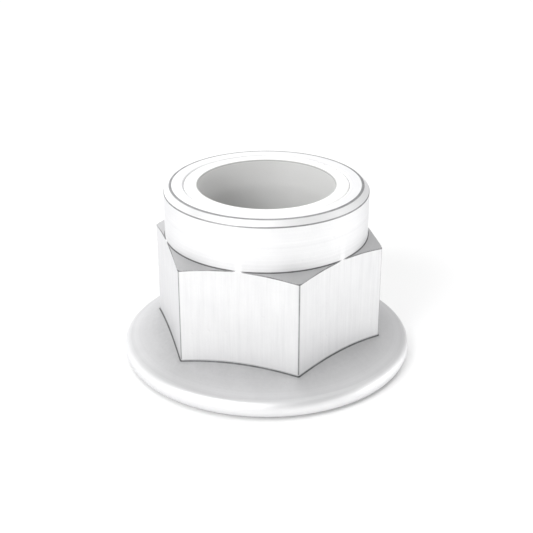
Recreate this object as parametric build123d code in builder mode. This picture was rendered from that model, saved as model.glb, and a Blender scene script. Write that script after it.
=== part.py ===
"""Hexagon flange lock nut, M12 x 1.75, with a nylon locking ring.

A cold-formed steel nut carries a round flange at its foot and a plain round collar on top.
The collar holds a nylon ring: the ring is dropped into a seat, and the collar's lip is
rolled inwards over it, so it can't lift out or turn. The ring's hole is a little smaller
than the bolt, which cuts its own thread in the nylon and is gripped there.

Frame: the origin is the centre of the bearing face, +Z runs along the thread axis to the
nylon ring, and +X is square to one of the six flats. Everything is in millimetres. The
bore has its pierced size, ready for the tap: the thread itself isn't modelled.
"""

from math import radians, tan
import os

from build123d import *

os.makedirs("parts", exist_ok=True)

# ---- Thread -------------------------------------------------------------------------
thread_diameter = 12.0
pierced_bore_diameter = 10.2  # the hole that an M12 x 1.75 tap runs through
countersink_diameter = 13.0
countersink_angle = 120.0  # included angle, at the bearing face
thread_exit_chamfer = 0.3  # where the thread runs out under the ring

# ---- Hexagon ------------------------------------------------------------------------
across_flats = 18.0
hexagon_height = 11.6  # bearing face to the foot of the collar
corner_radius = 0.3
corner_chamfer_angle = 21.4  # of the cone that takes the six top corners off

# ---- Flange -------------------------------------------------------------------------
flange_diameter = 26.0
rim_thickness = 1.8  # the rim is fully rounded, from the bearing face to the cone
flange_slope = 20.0  # of the cone that rises from the rim to the hexagon
root_radius = 0.25  # where the six flats run into the cone

# ---- Collar and its rolled lip ------------------------------------------------------
nut_height = 16.1
collar_diameter = 17.9  # turned just under the hexagon, so that it clears the flats
lip_chamfer = 0.5
lip_opening_diameter = 14.4
lip_thickness = 0.7
lip_nose_radius = 0.2

# ---- Nylon ring ---------------------------------------------------------------------
seat_depth = 5.2  # from the top of the nut to the floor that the ring stands on
ring_diameter = 15.4
ring_bore_diameter = 11.2  # undersize, so the bolt cuts into it
ring_lead_in = 0.3  # at the end where the bolt comes in
ring_mouth_diameter = thread_diameter  # the bore flares to the bolt's own size at the top
ring_flare_depth = 2.4
ring_top_below_lip = 0.05
ring_crown = 0.04  # the squeezed ring stands up a little in the middle of its face
ring_edge_radius = 0.12  # where its face turns down beside the lip

# ---- Worked out from those ----------------------------------------------------------
seat_floor = nut_height - seat_depth
lip_underside = nut_height - lip_thickness
lip_overhang = (ring_diameter - lip_opening_diameter) / 2
ring_shoulder = lip_underside - lip_overhang  # the lip's underside slopes at 45 degrees
ring_face = nut_height - ring_top_below_lip


def nut_steel():
    """The steel piece: hexagon, flange and collar in one, pierced, with the seat."""
    with BuildPart() as nut_body:
        # The hexagon bar, with its long corners just broken.
        with BuildSketch(Plane.XY.offset(rim_thickness)):
            RegularPolygon(across_flats / 2, 6, major_radius=False, rotation=30)
            fillet(vertices(), corner_radius)
        extrude(amount=hexagon_height - rim_thickness)

        # A shallow cone takes off the six top corners, down from the collar's foot.
        reach = across_flats  # well outside the corners
        fall = (reach - collar_diameter / 2) * tan(radians(corner_chamfer_angle))
        with BuildSketch(Plane.XZ):
            with BuildLine():
                Polyline(
                    (0, 0),
                    (reach, 0),
                    (reach, hexagon_height - fall),
                    (collar_diameter / 2, hexagon_height),
                    (0, hexagon_height),
                    close=True,
                )
            make_face()
        revolve(axis=Axis.Z, mode=Mode.INTERSECT)

        # The flange: flat underneath, a full round at the rim, then a straight cone.
        rim_radius = rim_thickness / 2
        rim_centre = flange_diameter / 2 - rim_radius
        with BuildSketch(Plane.XZ):
            with BuildLine():
                foot = Line((0, 0), (rim_centre, 0))
                rim = CenterArc((rim_centre, rim_radius), rim_radius, -90, 180 - flange_slope)
                rise = (rim @ 1).X * tan(radians(flange_slope))
                cone = Line(rim @ 1, (0, (rim @ 1).Y + rise))
                Line(cone @ 1, foot @ 0)
            make_face()
        revolve(axis=Axis.Z)

        # The forging's root radius, where the flats meet the cone.
        roots = edges().filter_by(GeomType.CIRCLE, reverse=True)
        roots = roots.filter_by(GeomType.LINE, reverse=True)
        roots = roots.filter_by_position(Axis.Z, rim_thickness, hexagon_height / 2)
        fillet(roots, root_radius)

        # The collar, with the chamfer that the rolling tool leaves on its lip.
        with BuildSketch(Plane.XY.offset(hexagon_height)):
            Circle(collar_diameter / 2)
        extrude(amount=nut_height - hexagon_height)
        chamfer(edges().group_by(Axis.Z)[-1], lip_chamfer)

        # Everything inside: countersink, pierced bore, the ring's seat, and the lip's nose.
        bore = pierced_bore_diameter / 2
        sink = countersink_diameter / 2
        sink_depth = (sink - bore) / tan(radians(countersink_angle / 2))
        opening = lip_opening_diameter / 2
        with BuildSketch(Plane.XZ):
            with BuildLine():
                Polyline(
                    (0, 0),
                    (sink, 0),
                    (bore, sink_depth),
                    (bore, seat_floor - thread_exit_chamfer),
                    (bore + thread_exit_chamfer, seat_floor),
                    (ring_diameter / 2, seat_floor),
                    (ring_diameter / 2, ring_shoulder),
                    (opening, lip_underside),
                    (opening, nut_height - lip_nose_radius),
                )
                RadiusArc(
                    (opening, nut_height - lip_nose_radius),
                    (opening + lip_nose_radius, nut_height),
                    lip_nose_radius,
                )
                Polyline((opening + lip_nose_radius, nut_height), (0, nut_height), (0, 0))
            make_face()
        revolve(axis=Axis.Z, mode=Mode.SUBTRACT)
    nut_body.part.label = "nut_body"
    return nut_body.part


def nylon_ring():
    """The locking ring, squeezed under the lip, with its face standing in the opening."""
    bore = ring_bore_diameter / 2
    mouth = ring_mouth_diameter / 2
    opening = lip_opening_diameter / 2
    outside = ring_diameter / 2
    with BuildPart() as locking_ring:
        with BuildSketch(Plane.XZ):
            with BuildLine():
                Polyline(
                    (mouth, ring_face),
                    (bore, ring_face - ring_flare_depth),
                    (bore, seat_floor + ring_lead_in),
                    (bore + ring_lead_in, seat_floor),
                    (outside, seat_floor),
                    (outside, ring_shoulder),
                    (opening, lip_underside),
                    (opening, ring_face - ring_edge_radius),
                )
                edge = RadiusArc(
                    (opening, ring_face - ring_edge_radius),
                    (opening - ring_edge_radius, ring_face),
                    -ring_edge_radius,
                )
                middle = ((edge @ 1).X + mouth) / 2
                ThreePointArc(edge @ 1, (middle, ring_face + ring_crown), (mouth, ring_face))
            make_face()
        revolve(axis=Axis.Z)
    locking_ring.part.label = "locking_ring"
    return locking_ring.part


for piece in (nut_steel(), nylon_ring()):
    export_step(piece, f"parts/{piece.label}.step")
    print(piece.label, "valid", piece.is_valid, "mm3", round(piece.volume, 1))
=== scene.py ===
"""Hexagon flange lock nut, M12 x 1.75: steel nut body with a nylon ring under its rolled lip.

The nut stands on its flange. It is modelled in millimetres and scaled to metres at the end of
each piece. +Z runs up the thread axis, and +X is square to one of the six flats.
"""

import math

import bpy
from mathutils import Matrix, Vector


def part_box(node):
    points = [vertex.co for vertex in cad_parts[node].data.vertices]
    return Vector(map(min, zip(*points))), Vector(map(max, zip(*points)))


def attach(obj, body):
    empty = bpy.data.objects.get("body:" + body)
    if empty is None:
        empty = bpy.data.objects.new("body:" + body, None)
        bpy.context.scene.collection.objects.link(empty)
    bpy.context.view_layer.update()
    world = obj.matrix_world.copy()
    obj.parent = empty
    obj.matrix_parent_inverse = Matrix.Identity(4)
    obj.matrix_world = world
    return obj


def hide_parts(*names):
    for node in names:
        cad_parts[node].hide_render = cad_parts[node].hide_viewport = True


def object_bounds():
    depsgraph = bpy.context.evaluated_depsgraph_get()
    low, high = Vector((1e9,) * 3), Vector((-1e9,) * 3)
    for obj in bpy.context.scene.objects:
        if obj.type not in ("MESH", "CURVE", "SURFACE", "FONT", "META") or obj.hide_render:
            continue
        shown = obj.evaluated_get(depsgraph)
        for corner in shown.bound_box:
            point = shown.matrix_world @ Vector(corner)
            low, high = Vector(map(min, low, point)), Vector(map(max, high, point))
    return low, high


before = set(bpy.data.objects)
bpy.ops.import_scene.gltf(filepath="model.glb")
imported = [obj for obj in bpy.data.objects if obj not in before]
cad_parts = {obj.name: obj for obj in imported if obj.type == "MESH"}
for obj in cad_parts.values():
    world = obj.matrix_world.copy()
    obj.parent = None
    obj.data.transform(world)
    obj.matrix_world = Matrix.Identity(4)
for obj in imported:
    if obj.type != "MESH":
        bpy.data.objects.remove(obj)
cad_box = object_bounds()


# ---- Nut body -----------------------------------------------------------------------------
# The nut body is cold-formed from steel wire: one blow gathers the flange, the next squares up
# the six flats, and the blank is pierced, tapped and zinc plated. Its collar is turned, and
# after the nylon ring is dropped in, a roller folds the collar's lip over it.

nut_low, nut_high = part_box("nut_body")
nut_height = nut_high.z * 1000
flange_radius = min(nut_high.x, nut_high.y) * 1000
rim_radius = 0.9
flange_slope = math.radians(20)
root_radius = 0.25

flat_distance = 9.0  # from the axis to each flat
corner_radius = 0.3
hexagon_height = 11.6
corner_chamfer = math.radians(21.4)
top_edge_radius = 0.08

collar_radius = 8.95
lip_chamfer = 0.5
lip_edge_radius = 0.12
lip_opening = 7.2
lip_nose = 0.2
lip_rub_width = 0.13
lip_thickness = 0.7
seat_radius = 7.7
seat_depth = 5.2
seat_floor = nut_height - seat_depth

blank_bore = 5.0  # the tap cuts it clean
thread_bore = 5.1
thread_root = 6.0
thread_pitch = 1.75
sink_radius = 6.5
sink_slope = math.radians(30)
sink_edge = 0.06
exit_chamfer = 0.3

# Marks for the finish, from 0 to 1: how dark an edge line is, rubbed on outside edges and
# painted shade in inside corners, and how much shade is painted in.
lip_rubbing = 0.75
lip_slope_rubbing = 0.5
# A rubbed line on the wall's top edge, and a line of painted shade at the collar's foot.
ledge_rub_and_shade = 0.85
# Painted shade: how dark the root, the ledge, the cone, the flats and the collar's foot are
# painted.
root_painted_shade = 0.8
ledge_painted_shade = 0.9
cone_painted_shade = 0.65  # where the cone meets the rim
cone_shade_start = 1.2  # the height on the rim where it begins
cone_shade_rise = 0.55  # the height over which it comes in
cone_shade_gain = 0.4  # more where the cone meets the flats
flat_painted_shade = 0.15
low_flat_painted_shade = 0.2  # more at the foot of a flat
low_flat_reach = 6  # the height over which that fades out
collar_painted_shade = 0.3  # at the collar's foot
collar_shade_reach = 2  # the height over which it fades out
level_step = 0.015  # the ledge's marks fade out over this last step in to the middle of a flat

side_steps = 48  # columns of faces round each of the six sides
flat_steps = 20  # of them on half a flat
corner_steps = side_steps // 2 - flat_steps  # round half a corner
turn_steps = 6 * side_steps
edge_hold = 0.03  # a face's last points lie this close to its worn edges


def arc(centre_r, centre_z, radius, start, stop, steps):
    """Points from one angle to another, in degrees, round a centre in the section."""
    angles = [math.radians(start + (stop - start) * i / steps) for i in range(steps + 1)]
    return [(centre_r + radius * math.cos(a), centre_z + radius * math.sin(a)) for a in angles]


def between(first, last, count, hold=0):
    """Evenly spaced points on the straight line between two points of the section. With a
    hold, there is one more that close to each end, which keeps a worn edge narrow."""
    length = math.dist(first, last)
    places = [hold / length, 1 - hold / length] if hold else [0, 1]
    shares = [places[0] + (places[1] - places[0]) * i / (count + 1) for i in range(count + 2)]
    if not hold:
        shares = shares[1:-1]
    return [tuple(a + (b - a) * s for a, b in zip(first, last)) for s in shares]


def nut_section(wall):
    """The nut's closed outline in the direction where its six-sided wall is this far out.
    Each point is (radius, height, flat, edge, hollow). Flat is 1 on the wall, 0 on the round
    parts, and runs from one to the other between them. Edge is a dark line where two faces meet:
    rubbing on outside edges, painted shade in the inside corners and under the rim. Hollow is
    painted shade, 1 deep in an inside corner."""
    slope, chamfer = math.tan(flange_slope), math.tan(corner_chamfer)
    rim_centre = flange_radius - rim_radius

    # Countersink and bearing face.
    sink = [(blank_bore, (sink_radius - blank_bore) * math.tan(sink_slope))]
    sink += between(sink[0], (sink_radius, 0), 5)
    swing = sink_edge / math.tan((math.pi - sink_slope) / 2)
    sink_lip = arc(sink_radius + swing, sink_edge, sink_edge, 240, 270, 3)
    foot = between(sink_lip[-1], (rim_centre, 0), 4, edge_hold)
    rim = arc(rim_centre, rim_radius, rim_radius, -90, 90 - math.degrees(flange_slope), 16)

    # The cone of the flange, and the root that turns it up into the wall.
    def on_flange(radius):
        return rim[-1][1] + (rim[-1][0] - radius) * slope

    root_r = wall + root_radius
    root = arc(
        root_r,
        on_flange(root_r) + root_radius / math.cos(flange_slope),
        root_radius,
        270 - math.degrees(flange_slope),
        180,
        6,
    )
    cone = between(rim[-1], root[0], 8)

    # The wall's top edge, the corner chamfer, and the small fillet at the collar's foot. Both
    # radii shrink where the collar comes nearly level with the middle of a flat, to two thirds
    # of the ledge between them.
    def on_chamfer(radius):
        return hexagon_height - (radius - collar_radius) * chamfer

    ledge_width = (wall - collar_radius) / math.cos(corner_chamfer)
    edge = min(top_edge_radius, 0.66 * ledge_width)
    top = arc(
        wall - edge,
        on_chamfer(wall - edge) - edge / math.cos(corner_chamfer),
        edge,
        0,
        90 - math.degrees(corner_chamfer),
        5,
    )
    foot_r = collar_radius + edge
    collar_foot = arc(
        foot_r,
        on_chamfer(foot_r) + edge / math.cos(corner_chamfer),
        edge,
        270 - math.degrees(corner_chamfer),
        180,
        5,
    )
    ledge_length = math.dist(top[-1], collar_foot[0])
    ledge = between(top[-1], collar_foot[0], 2, min(edge_hold, ledge_length / 4))
    side = between(root[-1], top[0], 10, edge_hold)

    # The collar, its chamfered lip, the lip's nose, and the ring's seat.
    swing = lip_edge_radius * math.tan(math.radians(22.5))
    shoulder = nut_height - lip_chamfer - swing
    lip_shoulder = arc(collar_radius - lip_edge_radius, shoulder, lip_edge_radius, 0, 45, 4)
    lip_top = arc(
        collar_radius - lip_chamfer - swing,
        nut_height - lip_edge_radius,
        lip_edge_radius,
        45,
        90,
        4,
    )
    collar = between(collar_foot[-1], lip_shoulder[0], 8, edge_hold)
    lip_slope = between(lip_shoulder[-1], lip_top[0], 1, edge_hold)
    nose = arc(lip_opening + lip_nose, nut_height - lip_nose, lip_nose, 90, 180, 6)
    rub_end = (lip_top[-1][0] - lip_rub_width, nut_height)
    lip_flat = between(rub_end, nose[0], 3, edge_hold)
    underside = nut_height - lip_thickness
    seat = [
        (lip_opening, underside),
        (seat_radius, underside - (seat_radius - lip_opening)),
        (seat_radius, seat_floor),
        (thread_bore + exit_chamfer, seat_floor),
    ]
    drop = thread_bore + exit_chamfer - blank_bore
    seat += between(seat[-1], (blank_bore, seat_floor - drop), 2)
    seat += [(blank_bore, seat_floor - drop)]

    def fading(height, start, reach):
        """1 up to the start, then evenly down to 0 over the reach above it."""
        return min(1, max(0, 1 - (height - start) / reach))

    def above_rim(height):
        return cone_painted_shade * (1 - fading(height, cone_shade_start, cone_shade_rise))

    def up_cone(height):
        share = (height - cone[0][1]) / (slope * (cone[0][0] - flat_distance))
        return cone_painted_shade + cone_shade_gain * share

    def up_flat(height):
        return flat_painted_shade + low_flat_painted_shade * fading(height, root[-1][1], low_flat_reach)

    # In the middle of a flat the collar is nearly level with it, and has no inside corner.
    step_out = min(1, (wall - flat_distance) / level_step)

    def up_collar(height):
        near = fading(height, collar_foot[0][1], collar_shade_reach)
        return collar_painted_shade * step_out * near**2

    def marked(points, flat=(0, 0), edge=0, hollow=0):
        """The points with their marks. Flat runs from one value to another along them, and
        hollow is a value, or a function of the height."""
        count = max(len(points) - 1, 1)
        return [
            (
                radius,
                height,
                flat[0] + (flat[1] - flat[0]) * i / count,
                edge,
                hollow(height) if callable(hollow) else hollow,
            )
            for i, (radius, height) in enumerate(points)
        ]

    return (
        marked(sink)
        + marked(sink_lip, edge=1)
        + marked(foot)
        + marked(rim[:3])
        # A dark line of painted shade under the rim, where it meets the floor.
        + marked(rim[3:5], edge=1)
        # The hollow marks below are painted shade, deepest in the inside corners and low on the
        # flats.
        + marked(rim[5:], hollow=above_rim)
        + marked(cone, (0.15, 0.85), hollow=up_cone)
        + marked(root[:2], (1, 1), hollow=1)
        # A dark line of painted shade in the root's inside corner.
        + marked(root[2:5], (1, 1), edge=1, hollow=root_painted_shade)
        + marked(root[5:], (1, 1), hollow=root_painted_shade)
        + marked(side, (1, 1), hollow=up_flat)
        + marked(top, (1, 1), edge=ledge_rub_and_shade * step_out)
        + marked(ledge, (0.75, 0.25), hollow=ledge_painted_shade * step_out)
        # At the collar's foot: a dark line and a hollow of painted shade.
        + marked(collar_foot, edge=ledge_rub_and_shade * step_out, hollow=step_out)
        + marked(collar, hollow=up_collar)
        + marked(lip_shoulder, edge=lip_rubbing)
        + marked(lip_slope)
        + marked(lip_top[:2], edge=lip_slope_rubbing)
        + marked(lip_top[2:] + [rub_end], edge=lip_rubbing)
        + marked(lip_flat)
        + marked(nose)
        + marked(seat)
    )


def hexagon_wall(step):
    """Distance and direction of the wall at a step from the middle of a flat: even steps
    across the flat, then even steps round the corner's radius."""
    half_flat = (flat_distance - corner_radius) * math.tan(math.radians(30))
    if abs(step) <= flat_steps:
        x, y = flat_distance, half_flat * step / flat_steps
    else:
        turn = math.radians(30) * (abs(step) - flat_steps) / corner_steps
        x = flat_distance - corner_radius + corner_radius * math.cos(turn)
        y = math.copysign(half_flat + corner_radius * math.sin(turn), step)
    return math.hypot(x, y), math.atan2(y, x)


def deselect_everything():
    if bpy.context.object and bpy.context.object.mode != "OBJECT":
        bpy.ops.object.mode_set(mode="OBJECT")
    bpy.ops.object.select_all(action="DESELECT")


def make_active(piece):
    deselect_everything()
    piece.select_set(True)
    bpy.context.view_layer.objects.active = piece


def spin_outline(name, outline, steps):
    """A ring of points is laid along the outline and spun once round the axis."""
    deselect_everything()
    bpy.ops.mesh.primitive_circle_add(vertices=len(outline))
    piece = bpy.context.object
    piece.name = piece.data.name = name
    for vertex, (radius, height) in zip(piece.data.vertices, outline):
        vertex.co = (radius, 0, height)
    station = piece.data.attributes.new("station", "INT", "POINT")
    station.data.foreach_set("value", range(len(outline)))
    bpy.ops.object.mode_set(mode="EDIT")
    bpy.ops.mesh.select_all(action="SELECT")
    bpy.ops.mesh.spin(steps=steps, angle=math.tau, center=(0, 0, 0), axis=(0, 0, 1))
    bpy.ops.mesh.select_all(action="SELECT")
    bpy.ops.mesh.remove_doubles(threshold=0.0001)
    bpy.ops.mesh.normals_make_consistent(inside=False)
    bpy.ops.object.mode_set(mode="OBJECT")
    return piece


# A round blank is spun from the section through a corner, then pressed to its six sides: each
# point moves to its place in the section that belongs to its own direction. The long corners
# are rubbed as well, but not down in the root. The marks are kept in the mesh.
farthest, _ = hexagon_wall(side_steps / 2)
outline = [point[:2] for point in nut_section(farthest)]
nut = spin_outline("flange_nut", outline, turn_steps)
marks = {name: [] for name in ("flat", "edge", "hollow")}
sections = {}
for vertex, station in zip(nut.data.vertices, nut.data.attributes["station"].data):
    turn = math.atan2(vertex.co.y, vertex.co.x)
    side = round(turn / math.radians(60))
    step = round((turn - side * math.radians(60)) / (math.tau / turn_steps))
    wall, lean = hexagon_wall(step)
    if step not in sections:
        sections[step] = nut_section(wall)
    radius, height, flat, edge, hollow = sections[step][station.value]
    turn = side * math.radians(60) + flat * lean + (1 - flat) * step * math.tau / turn_steps
    vertex.co = (radius * math.cos(turn), radius * math.sin(turn), height)
    if flat == 1 and hollow < root_painted_shade and abs(step) > flat_steps:
        edge = max(edge, ((abs(step) - flat_steps) / corner_steps) ** 3)
    for name, value in zip(marks, (flat, edge, hollow)):
        marks[name].append(value)
nut.data.attributes.remove(nut.data.attributes["station"])
for name, values in marks.items():
    nut.data.attributes.new(name, "FLOAT", "POINT").data.foreach_set("value", values)

# The tap: one tooth of its thread, wound up the axis from below the bearing face to above the
# seat, with its ends turned down and closed.
tap_start = -1.6
tap_turns = 9
tap_overrun = 0.4  # past the steel at each end
crest_round = 0.05
root_round = 0.09
tan30 = math.tan(math.radians(30))
tooth_flat = thread_pitch / 16
tooth_foot = tooth_flat + (thread_root - thread_bore) * tan30
crest = arc(
    thread_bore + crest_round,
    tooth_foot + crest_round * tan30,
    crest_round,
    180,
    240,
    3,
)
tip = arc(thread_root - root_round, tooth_flat - root_round * tan30, root_round, 60, 0, 4)
half_tooth = [(thread_bore, thread_pitch / 2)] + crest + between(crest[-1], tip[0], 1) + tip
tooth = [(r, -s) for r, s in half_tooth] + half_tooth[::-1]
deselect_everything()
bpy.ops.mesh.primitive_circle_add(vertices=len(tooth))
tap = bpy.context.object
tap.name = tap.data.name = "tap"
for vertex, (radius, height) in zip(tap.data.vertices, tooth):
    vertex.co = (radius, 0, height)
bpy.ops.object.mode_set(mode="EDIT")
bpy.ops.mesh.select_all(action="DESELECT")
bpy.ops.object.mode_set(mode="OBJECT")
for end in (tap.data.vertices[0], tap.data.vertices[len(tooth) - 1]):
    end.select = True
bpy.ops.object.mode_set(mode="EDIT")
bpy.ops.mesh.delete(type="EDGE")
bpy.ops.object.mode_set(mode="OBJECT")
winding = tap.modifiers.new("winding", "SCREW")
winding.screw_offset = thread_pitch
winding.iterations = tap_turns
winding.steps = winding.render_steps = 120
make_active(tap)
bpy.ops.object.modifier_apply(modifier=winding.name)
for vertex in tap.data.vertices:
    vertex.co.z += tap_start
    if not -tap_overrun <= vertex.co.z <= seat_floor + tap_overrun:
        vertex.co.xy *= thread_bore / vertex.co.xy.length
bpy.ops.object.mode_set(mode="EDIT")
bpy.ops.mesh.select_all(action="SELECT")
bpy.ops.mesh.remove_doubles(threshold=0.001)
bpy.ops.mesh.fill_holes(sides=0)
bpy.ops.mesh.select_all(action="DESELECT")
bpy.ops.mesh.select_face_by_sides(number=4, type="GREATER")
bpy.ops.mesh.poke()
bpy.ops.mesh.select_all(action="SELECT")
bpy.ops.mesh.normals_make_consistent(inside=False)
bpy.ops.object.mode_set(mode="OBJECT")

tapping = nut.modifiers.new("tapping", "BOOLEAN")
tapping.operation = "DIFFERENCE"
tapping.solver = "EXACT"
tapping.object = tap
make_active(nut)
bpy.ops.object.modifier_apply(modifier=tapping.name)
bpy.data.objects.remove(tap)
bpy.ops.object.mode_set(mode="EDIT")
bpy.ops.mesh.select_all(action="SELECT")
bpy.ops.mesh.remove_doubles(threshold=0.0005)
bpy.ops.mesh.dissolve_degenerate(threshold=0.0005)
bpy.ops.object.mode_set(mode="OBJECT")

# The walls of the thread get painted shade, darker towards its root.
for index, vertex in enumerate(nut.data.vertices):
    radius = vertex.co.xy.length
    if radius < thread_root + 0.01:
        deep = (radius - thread_bore) / (thread_root - thread_bore)
        for name, value in zip(marks, (0, 0, max(0, deep))):
            nut.data.attributes[name].data[index].value = value


def finish_piece(piece):
    """Smooth shading that keeps the flat faces flat, then millimetres to metres."""
    make_active(piece)
    bpy.ops.object.shade_smooth_by_angle(angle=math.radians(35))
    weighting = piece.modifiers.new("weighting", "WEIGHTED_NORMAL")
    weighting.keep_sharp = True
    bpy.ops.object.modifier_apply(modifier=weighting.name)
    piece.scale = (0.001, 0.001, 0.001)
    bpy.ops.object.transform_apply(scale=True)


finish_piece(nut)


def linear(hex_colour):
    """An sRGB hex colour as linear RGBA."""
    channels = [int(hex_colour[i : i + 2], 16) / 255 for i in (1, 3, 5)]
    channels = [c / 12.92 if c <= 0.04045 else ((c + 0.055) / 1.055) ** 2.4 for c in channels]
    return (*channels, 1.0)


def add_node(material, kind, inputs, **settings):
    """Adds a node: settings go on the node, and each input is a value or another's socket."""
    node = material.node_tree.nodes.new(kind)
    for name, value in settings.items():
        setattr(node, name, value)
    for socket, value in inputs.items():
        if isinstance(value, bpy.types.NodeSocket):
            material.node_tree.links.new(value, node.inputs[socket])
        else:
            node.inputs[socket].default_value = value
    return node


def weighted_sum(material, total, parts):
    """A constant plus patterns, each of them times its own weight."""
    for pattern, weight in parts:
        total = add_node(
            material,
            "ShaderNodeMath",
            {0: pattern, 1: weight, 2: total},
            operation="MULTIPLY_ADD",
        ).outputs["Value"]
    return total


def layered_colour(material, colour, layers):
    """A colour with others laid over it in turn, each as thickly as its share says."""
    colour = linear(colour)
    for share, shade in layers:
        colour = add_node(
            material, "ShaderNodeMix", {0: share, 6: colour, 7: linear(shade)}, data_type="RGBA"
        ).outputs[2]
    return colour


def places_on(material):
    """A point's place in millimetres, its distance from the axis, and its place in the section
    that the piece is spun from."""
    place = add_node(material, "ShaderNodeTexCoord", {})
    in_mm = add_node(
        material,
        "ShaderNodeMapping",
        {"Vector": place.outputs["Object"], "Scale": (1000, 1000, 1000)},
    ).outputs["Vector"]
    apart = add_node(material, "ShaderNodeSeparateXYZ", {"Vector": in_mm}).outputs
    across = add_node(material, "ShaderNodeCombineXYZ", {"X": apart["X"], "Y": apart["Y"]})
    from_axis = add_node(
        material, "ShaderNodeVectorMath", {0: across.outputs["Vector"]}, operation="LENGTH"
    ).outputs["Value"]
    in_section = add_node(material, "ShaderNodeCombineXYZ", {"X": from_axis, "Y": apart["Z"]})
    return in_mm, from_axis, in_section.outputs["Vector"]


# Steel with a barrel-plated, clear-passivated coat of zinc: a pale silver with a silky, faintly
# cloudy sheen. Fine lines run round what was turned or rolled and up and down the flats that
# were drawn through a die, and small knocks from the barrel lie all over. Painted shade darkens
# the inside corners and the low parts of the faces, and the corners are rubbed to a darker grey,
# with dark lines of painted shade in the creases and under the rim.
zinc = bpy.data.materials.new("silky_zinc_plated_steel")
zinc.use_nodes = True
shader = zinc.node_tree.nodes["Principled BSDF"]
in_mm, _, in_section = places_on(zinc)
flat_mark, rub_and_shade_mark, painted_shade_mark = (
    add_node(zinc, "ShaderNodeAttribute", {}, attribute_name=name).outputs["Fac"]
    for name in marks
)

# Tool lines, about 0.15 mm apart.
round_lines = add_node(
    zinc,
    "ShaderNodeTexNoise",
    {"Vector": in_section, "Scale": 3.5, "Detail": 3, "Roughness": 0.7},
)
stretched = add_node(zinc, "ShaderNodeMapping", {"Vector": in_mm, "Scale": (1, 1, 0.05)})
upright_lines = add_node(
    zinc,
    "ShaderNodeTexNoise",
    {"Vector": stretched.outputs["Vector"], "Scale": 3, "Detail": 3, "Roughness": 0.7},
)
lines = add_node(
    zinc,
    "ShaderNodeMix",
    {
        "Factor": flat_mark,
        "A": round_lines.outputs["Fac"],
        "B": upright_lines.outputs["Fac"],
    },
).outputs["Result"]
lines = add_node(
    zinc, "ShaderNodeMapRange", {"Value": lines, "From Min": 0.32, "From Max": 0.68}
).outputs["Result"]

# The coat's own grain, its slow clouds, the knocks, 0.3 mm across, and the patches along the edge
# lines.
grain = add_node(
    zinc, "ShaderNodeTexNoise", {"Vector": in_mm, "Scale": 6, "Detail": 2, "Roughness": 0.6}
).outputs["Fac"]
cloud = add_node(
    zinc, "ShaderNodeTexNoise", {"Vector": in_mm, "Scale": 0.4, "Detail": 3, "Roughness": 0.6}
).outputs["Fac"]
spots = add_node(zinc, "ShaderNodeTexVoronoi", {"Vector": in_mm, "Scale": 0.8})
knocks = add_node(
    zinc,
    "ShaderNodeMapRange",
    {"Value": spots.outputs["Distance"], "From Min": 0.13, "From Max": 0.03},
    interpolation_type="SMOOTHSTEP",
).outputs["Result"]
line_patches = add_node(
    zinc, "ShaderNodeTexNoise", {"Vector": in_mm, "Scale": 1.2, "Detail": 3, "Roughness": 0.7}
).outputs["Fac"]

raised = weighted_sum(zinc, 0, ((lines, 0.1), (grain, 0.25), (knocks, -0.3)))
relief = add_node(zinc, "ShaderNodeBump", {"Height": raised, "Distance": 0.00004})
zinc.node_tree.links.new(relief.outputs["Normal"], shader.inputs["Normal"])
silkiness = weighted_sum(zinc, 0.4, ((cloud, 0.1), (lines, 0.1), (painted_shade_mark, 0.1)))
zinc.node_tree.links.new(silkiness, shader.inputs["Roughness"])
streaks = weighted_sum(zinc, 0, ((lines, 0.25), (grain, 0.15)))
# Painted shade in the corners and low on the faces.
painted_shade_share = weighted_sum(zinc, 0, ((painted_shade_mark, 0.8),))
line_strength = weighted_sum(zinc, 0.7, ((line_patches, 0.5),))
# Edge lines: rubbed grey on outside edges, dark lines of painted shade in the creases and under
# the rim.
rub_and_shade_share = add_node(
    zinc, "ShaderNodeMath", {0: rub_and_shade_mark, 1: line_strength}, operation="MULTIPLY", use_clamp=True
).outputs["Value"]
# A9A9AA is painted shade; #545556 is the rubbed grey and the painted shade lines.
colour = layered_colour(
    zinc,
    "#F5F5F5",
    ((cloud, "#ECECED"), (streaks, "#DEDEDF"), (painted_shade_share, "#A9A9AA"), (rub_and_shade_share, "#545556")),
)
zinc.node_tree.links.new(colour, shader.inputs["Base Color"])
shader.inputs["Metallic"].default_value = 1
shader.inputs["Specular Tint"].default_value = linear("#E0E0E2")
nut.data.materials.clear()
nut.data.materials.append(zinc)
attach(nut, "root")
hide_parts("nut_body")


# ---- Locking ring -------------------------------------------------------------------------
# The ring is injection-moulded nylon in its natural milky white. It is dropped into its seat
# and squeezed there by the lip, so its face bulges a little between the lip and the hole.

_, ring_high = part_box("locking_ring")
ring_radius = ring_high.x * 1000
ring_below_lip = 0.05
ring_top = nut_height - ring_below_lip
ring_crown = 0.04  # how far the middle of the face stands up from there
ring_bore = 5.6
ring_mouth = 6.0
flare_depth = 2.4
lead_in = 0.3
mouth_edge = 0.08
shoulder_edge = 0.12

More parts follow.
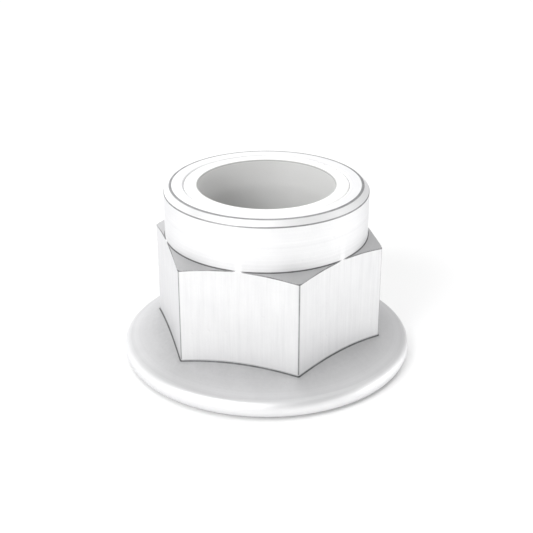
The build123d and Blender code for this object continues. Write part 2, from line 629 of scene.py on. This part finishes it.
face = arc(lip_opening - shoulder_edge, ring_top - shoulder_edge, shoulder_edge, 0, 90, 4)
middle = (face[-1][0] + ring_mouth + mouth_edge) / 2
half_face = face[-1][0] - middle
for quarter in range(3, -4, -1):
    offset = quarter / 4
    face.append((middle + offset * half_face, ring_top + ring_crown * (1 - offset**2)))
mouth_lean = math.degrees(math.atan2(ring_mouth - ring_bore, flare_depth))
mouth = arc(ring_mouth + mouth_edge, ring_top - mouth_edge, mouth_edge, 90, 180 - mouth_lean, 5)
bore_wall = between(mouth[-1], (ring_bore, ring_top - flare_depth), 5)
bore_wall += [(ring_bore, ring_top - flare_depth)]
bore_wall += between(bore_wall[-1], (ring_bore, seat_floor + lead_in), 4)
bore_wall += [(ring_bore, seat_floor + lead_in), (ring_bore + lead_in, seat_floor)]
outside = [
    (ring_radius, seat_floor),
    (ring_radius, nut_height - lip_thickness - (seat_radius - lip_opening)),
    (lip_opening, nut_height - lip_thickness),
]
ring = spin_outline("nylon_ring", outside + face + mouth + bore_wall, 240)
ring.data.attributes.remove(ring.data.attributes["station"])
finish_piece(ring)

# Unfilled nylon 66 from a fine-spark mould: milky and a little see-through at its edges, with
# a soft waxy sheen, flow clouds and a fine even grain. Painted shade makes the bore greyer than
# the face, and a thin dark line of painted shade runs round its mouth.
nylon = bpy.data.materials.new("natural_nylon")
nylon.use_nodes = True
shader = nylon.node_tree.nodes["Principled BSDF"]
in_mm, from_axis, in_section = places_on(nylon)
flow = add_node(
    nylon, "ShaderNodeTexNoise", {"Vector": in_mm, "Scale": 0.5, "Detail": 3, "Roughness": 0.5}
).outputs["Fac"]
grain = add_node(
    nylon, "ShaderNodeTexNoise", {"Vector": in_mm, "Scale": 6, "Detail": 2, "Roughness": 0.6}
).outputs["Fac"]
# Painted shade down the bore.
bore_painted_shade = add_node(
    nylon,
    "ShaderNodeMapRange",
    {"Value": from_axis, "From Min": ring_mouth + 0.06, "From Max": ring_mouth - 0.02},
).outputs["Result"]
# A thin dark line of painted shade round the mouth.
from_mouth = add_node(
    nylon,
    "ShaderNodeVectorMath",
    {0: in_section, 1: (ring_mouth + 0.02, ring_top - 0.02, 0)},
    operation="DISTANCE",
)
mouth_shade_line = add_node(
    nylon,
    "ShaderNodeMapRange",
    {"Value": from_mouth.outputs["Value"], "From Min": 0.12, "From Max": 0.05, "To Max": 0.7},
).outputs["Result"]
colour = layered_colour(
    nylon, "#F3F3F2", ((flow, "#EBEBEA"), (bore_painted_shade, "#CECECD"), (mouth_shade_line, "#8A8A89"))
)
nylon.node_tree.links.new(colour, shader.inputs["Base Color"])
sheen = weighted_sum(nylon, 0.36, ((flow, 0.1), (grain, 0.08)))
nylon.node_tree.links.new(sheen, shader.inputs["Roughness"])
relief = add_node(nylon, "ShaderNodeBump", {"Height": grain, "Distance": 0.00001})
nylon.node_tree.links.new(relief.outputs["Normal"], shader.inputs["Normal"])
shader.inputs["IOR"].default_value = 1.53
shader.inputs["Subsurface Weight"].default_value = 0.15
shader.inputs["Subsurface Radius"].default_value = (1, 0.95, 0.9)
shader.inputs["Subsurface Scale"].default_value = 0.0006
ring.data.materials.clear()
ring.data.materials.append(nylon)
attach(ring, "root")
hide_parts("locking_ring")


# ---- Floor, light and camera --------------------------------------------------------------
# The nut stands on a large sheet of white paper, under a white tent that is lit from outside,
# with one small soft box at its front left and a weak one low on its right.

deselect_everything()
bpy.ops.mesh.primitive_plane_add(size=4, location=(0, 0, nut_low.z))
floor = bpy.context.object
floor.name = "floor"

# Matt white paper that is lit a little from below as well, so its shadows stay pale.
paper = bpy.data.materials.new("white_paper")
paper.use_nodes = True
shader = paper.node_tree.nodes["Principled BSDF"]
shader.inputs["Base Color"].default_value = linear("#E2E2E2")
shader.inputs["Roughness"].default_value = 0.9
shader.inputs["Emission Color"].default_value = linear("#FFFFFF")
shader.inputs["Emission Strength"].default_value = 0.18
floor.data.materials.append(paper)

# Seven grey cloths hang in the tent: two low in front, one high on the front right, one high on
# the right, one lower on the far right, and two over the left. They give the pale metal something
# darker to mirror, so that each face keeps a tone of its own. Each cloth is given by its bearing
# and height in degrees and the light that it takes away, all of it within the cloth's reach and
# ever less over its fade.
tent = bpy.data.worlds.new("tent")
bpy.context.scene.world = tent
tent.use_nodes = True
look = add_node(tent, "ShaderNodeTexCoord", {})


def towards(bearing, height):
    """The direction at a bearing from +X and a height above the floor, both in degrees."""
    bearing, height = math.radians(bearing), math.radians(height)
    level = math.cos(height)
    return Vector((level * math.cos(bearing), level * math.sin(bearing), math.sin(height)))


light_level = 1.84
cloth_reach = math.radians(5)
cloth_fade = math.radians(40)
for bearing, height, amount in (
    (-90, 12, -1.2),
    (-45, 12, -0.9),
    (0, 38, -1.25),
    (45, 38, -0.4),
    (100, 20, -1.15),
    (-135, 38, -0.45),
    (-135, 65, -1.15),
):
    nearness = add_node(
        tent,
        "ShaderNodeVectorMath",
        {0: look.outputs["Generated"], 1: towards(bearing, height)},
        operation="DOT_PRODUCT",
    )
    patch = add_node(
        tent,
        "ShaderNodeMapRange",
        {
            "Value": nearness.outputs["Value"],
            "From Min": math.cos(cloth_reach + cloth_fade),
            "From Max": math.cos(cloth_reach),
            "To Max": amount,
        },
        interpolation_type="SMOOTHSTEP",
    )
    light_level = add_node(
        tent, "ShaderNodeMath", {0: light_level, 1: patch.outputs["Result"]}, operation="ADD"
    ).outputs["Value"]
background = tent.node_tree.nodes["Background"]
tent.node_tree.links.new(light_level, background.inputs["Strength"])
background.inputs["Color"].default_value = linear("#FFFFFF")
bpy.context.scene.view_settings.view_transform = "Standard"

nut_middle = (cad_box[0] + cad_box[1]) / 2


def soft_box(name, place, size, power):
    """A square lamp that faces the nut."""
    deselect_everything()
    bpy.ops.object.light_add(type="AREA", location=place)
    lamp = bpy.context.object
    lamp.name = name
    lamp.data.size = size
    lamp.data.energy = power
    lamp.rotation_euler = (nut_middle - lamp.location).to_track_quat("-Z", "Y").to_euler()


soft_box("key", (0.03, -0.30, 0.20), 0.2, 0.85)
soft_box("fill", (0.19, 0.19, 0.02), 0.08, 0.08)

# The camera looks down 25 degrees from half way between +X and -Y, 99 mm from the nut.
camera_distance = 0.09914
bpy.ops.object.camera_add()
camera = bpy.context.object
camera.location = nut_middle + camera_distance * towards(-45, 24.94)
camera.rotation_euler = (nut_middle - camera.location).to_track_quat("-Z", "Y").to_euler()
camera.data.sensor_width = 36
camera.data.lens = 74.5
camera.data.clip_start = 0.001
bpy.context.scene.camera = camera
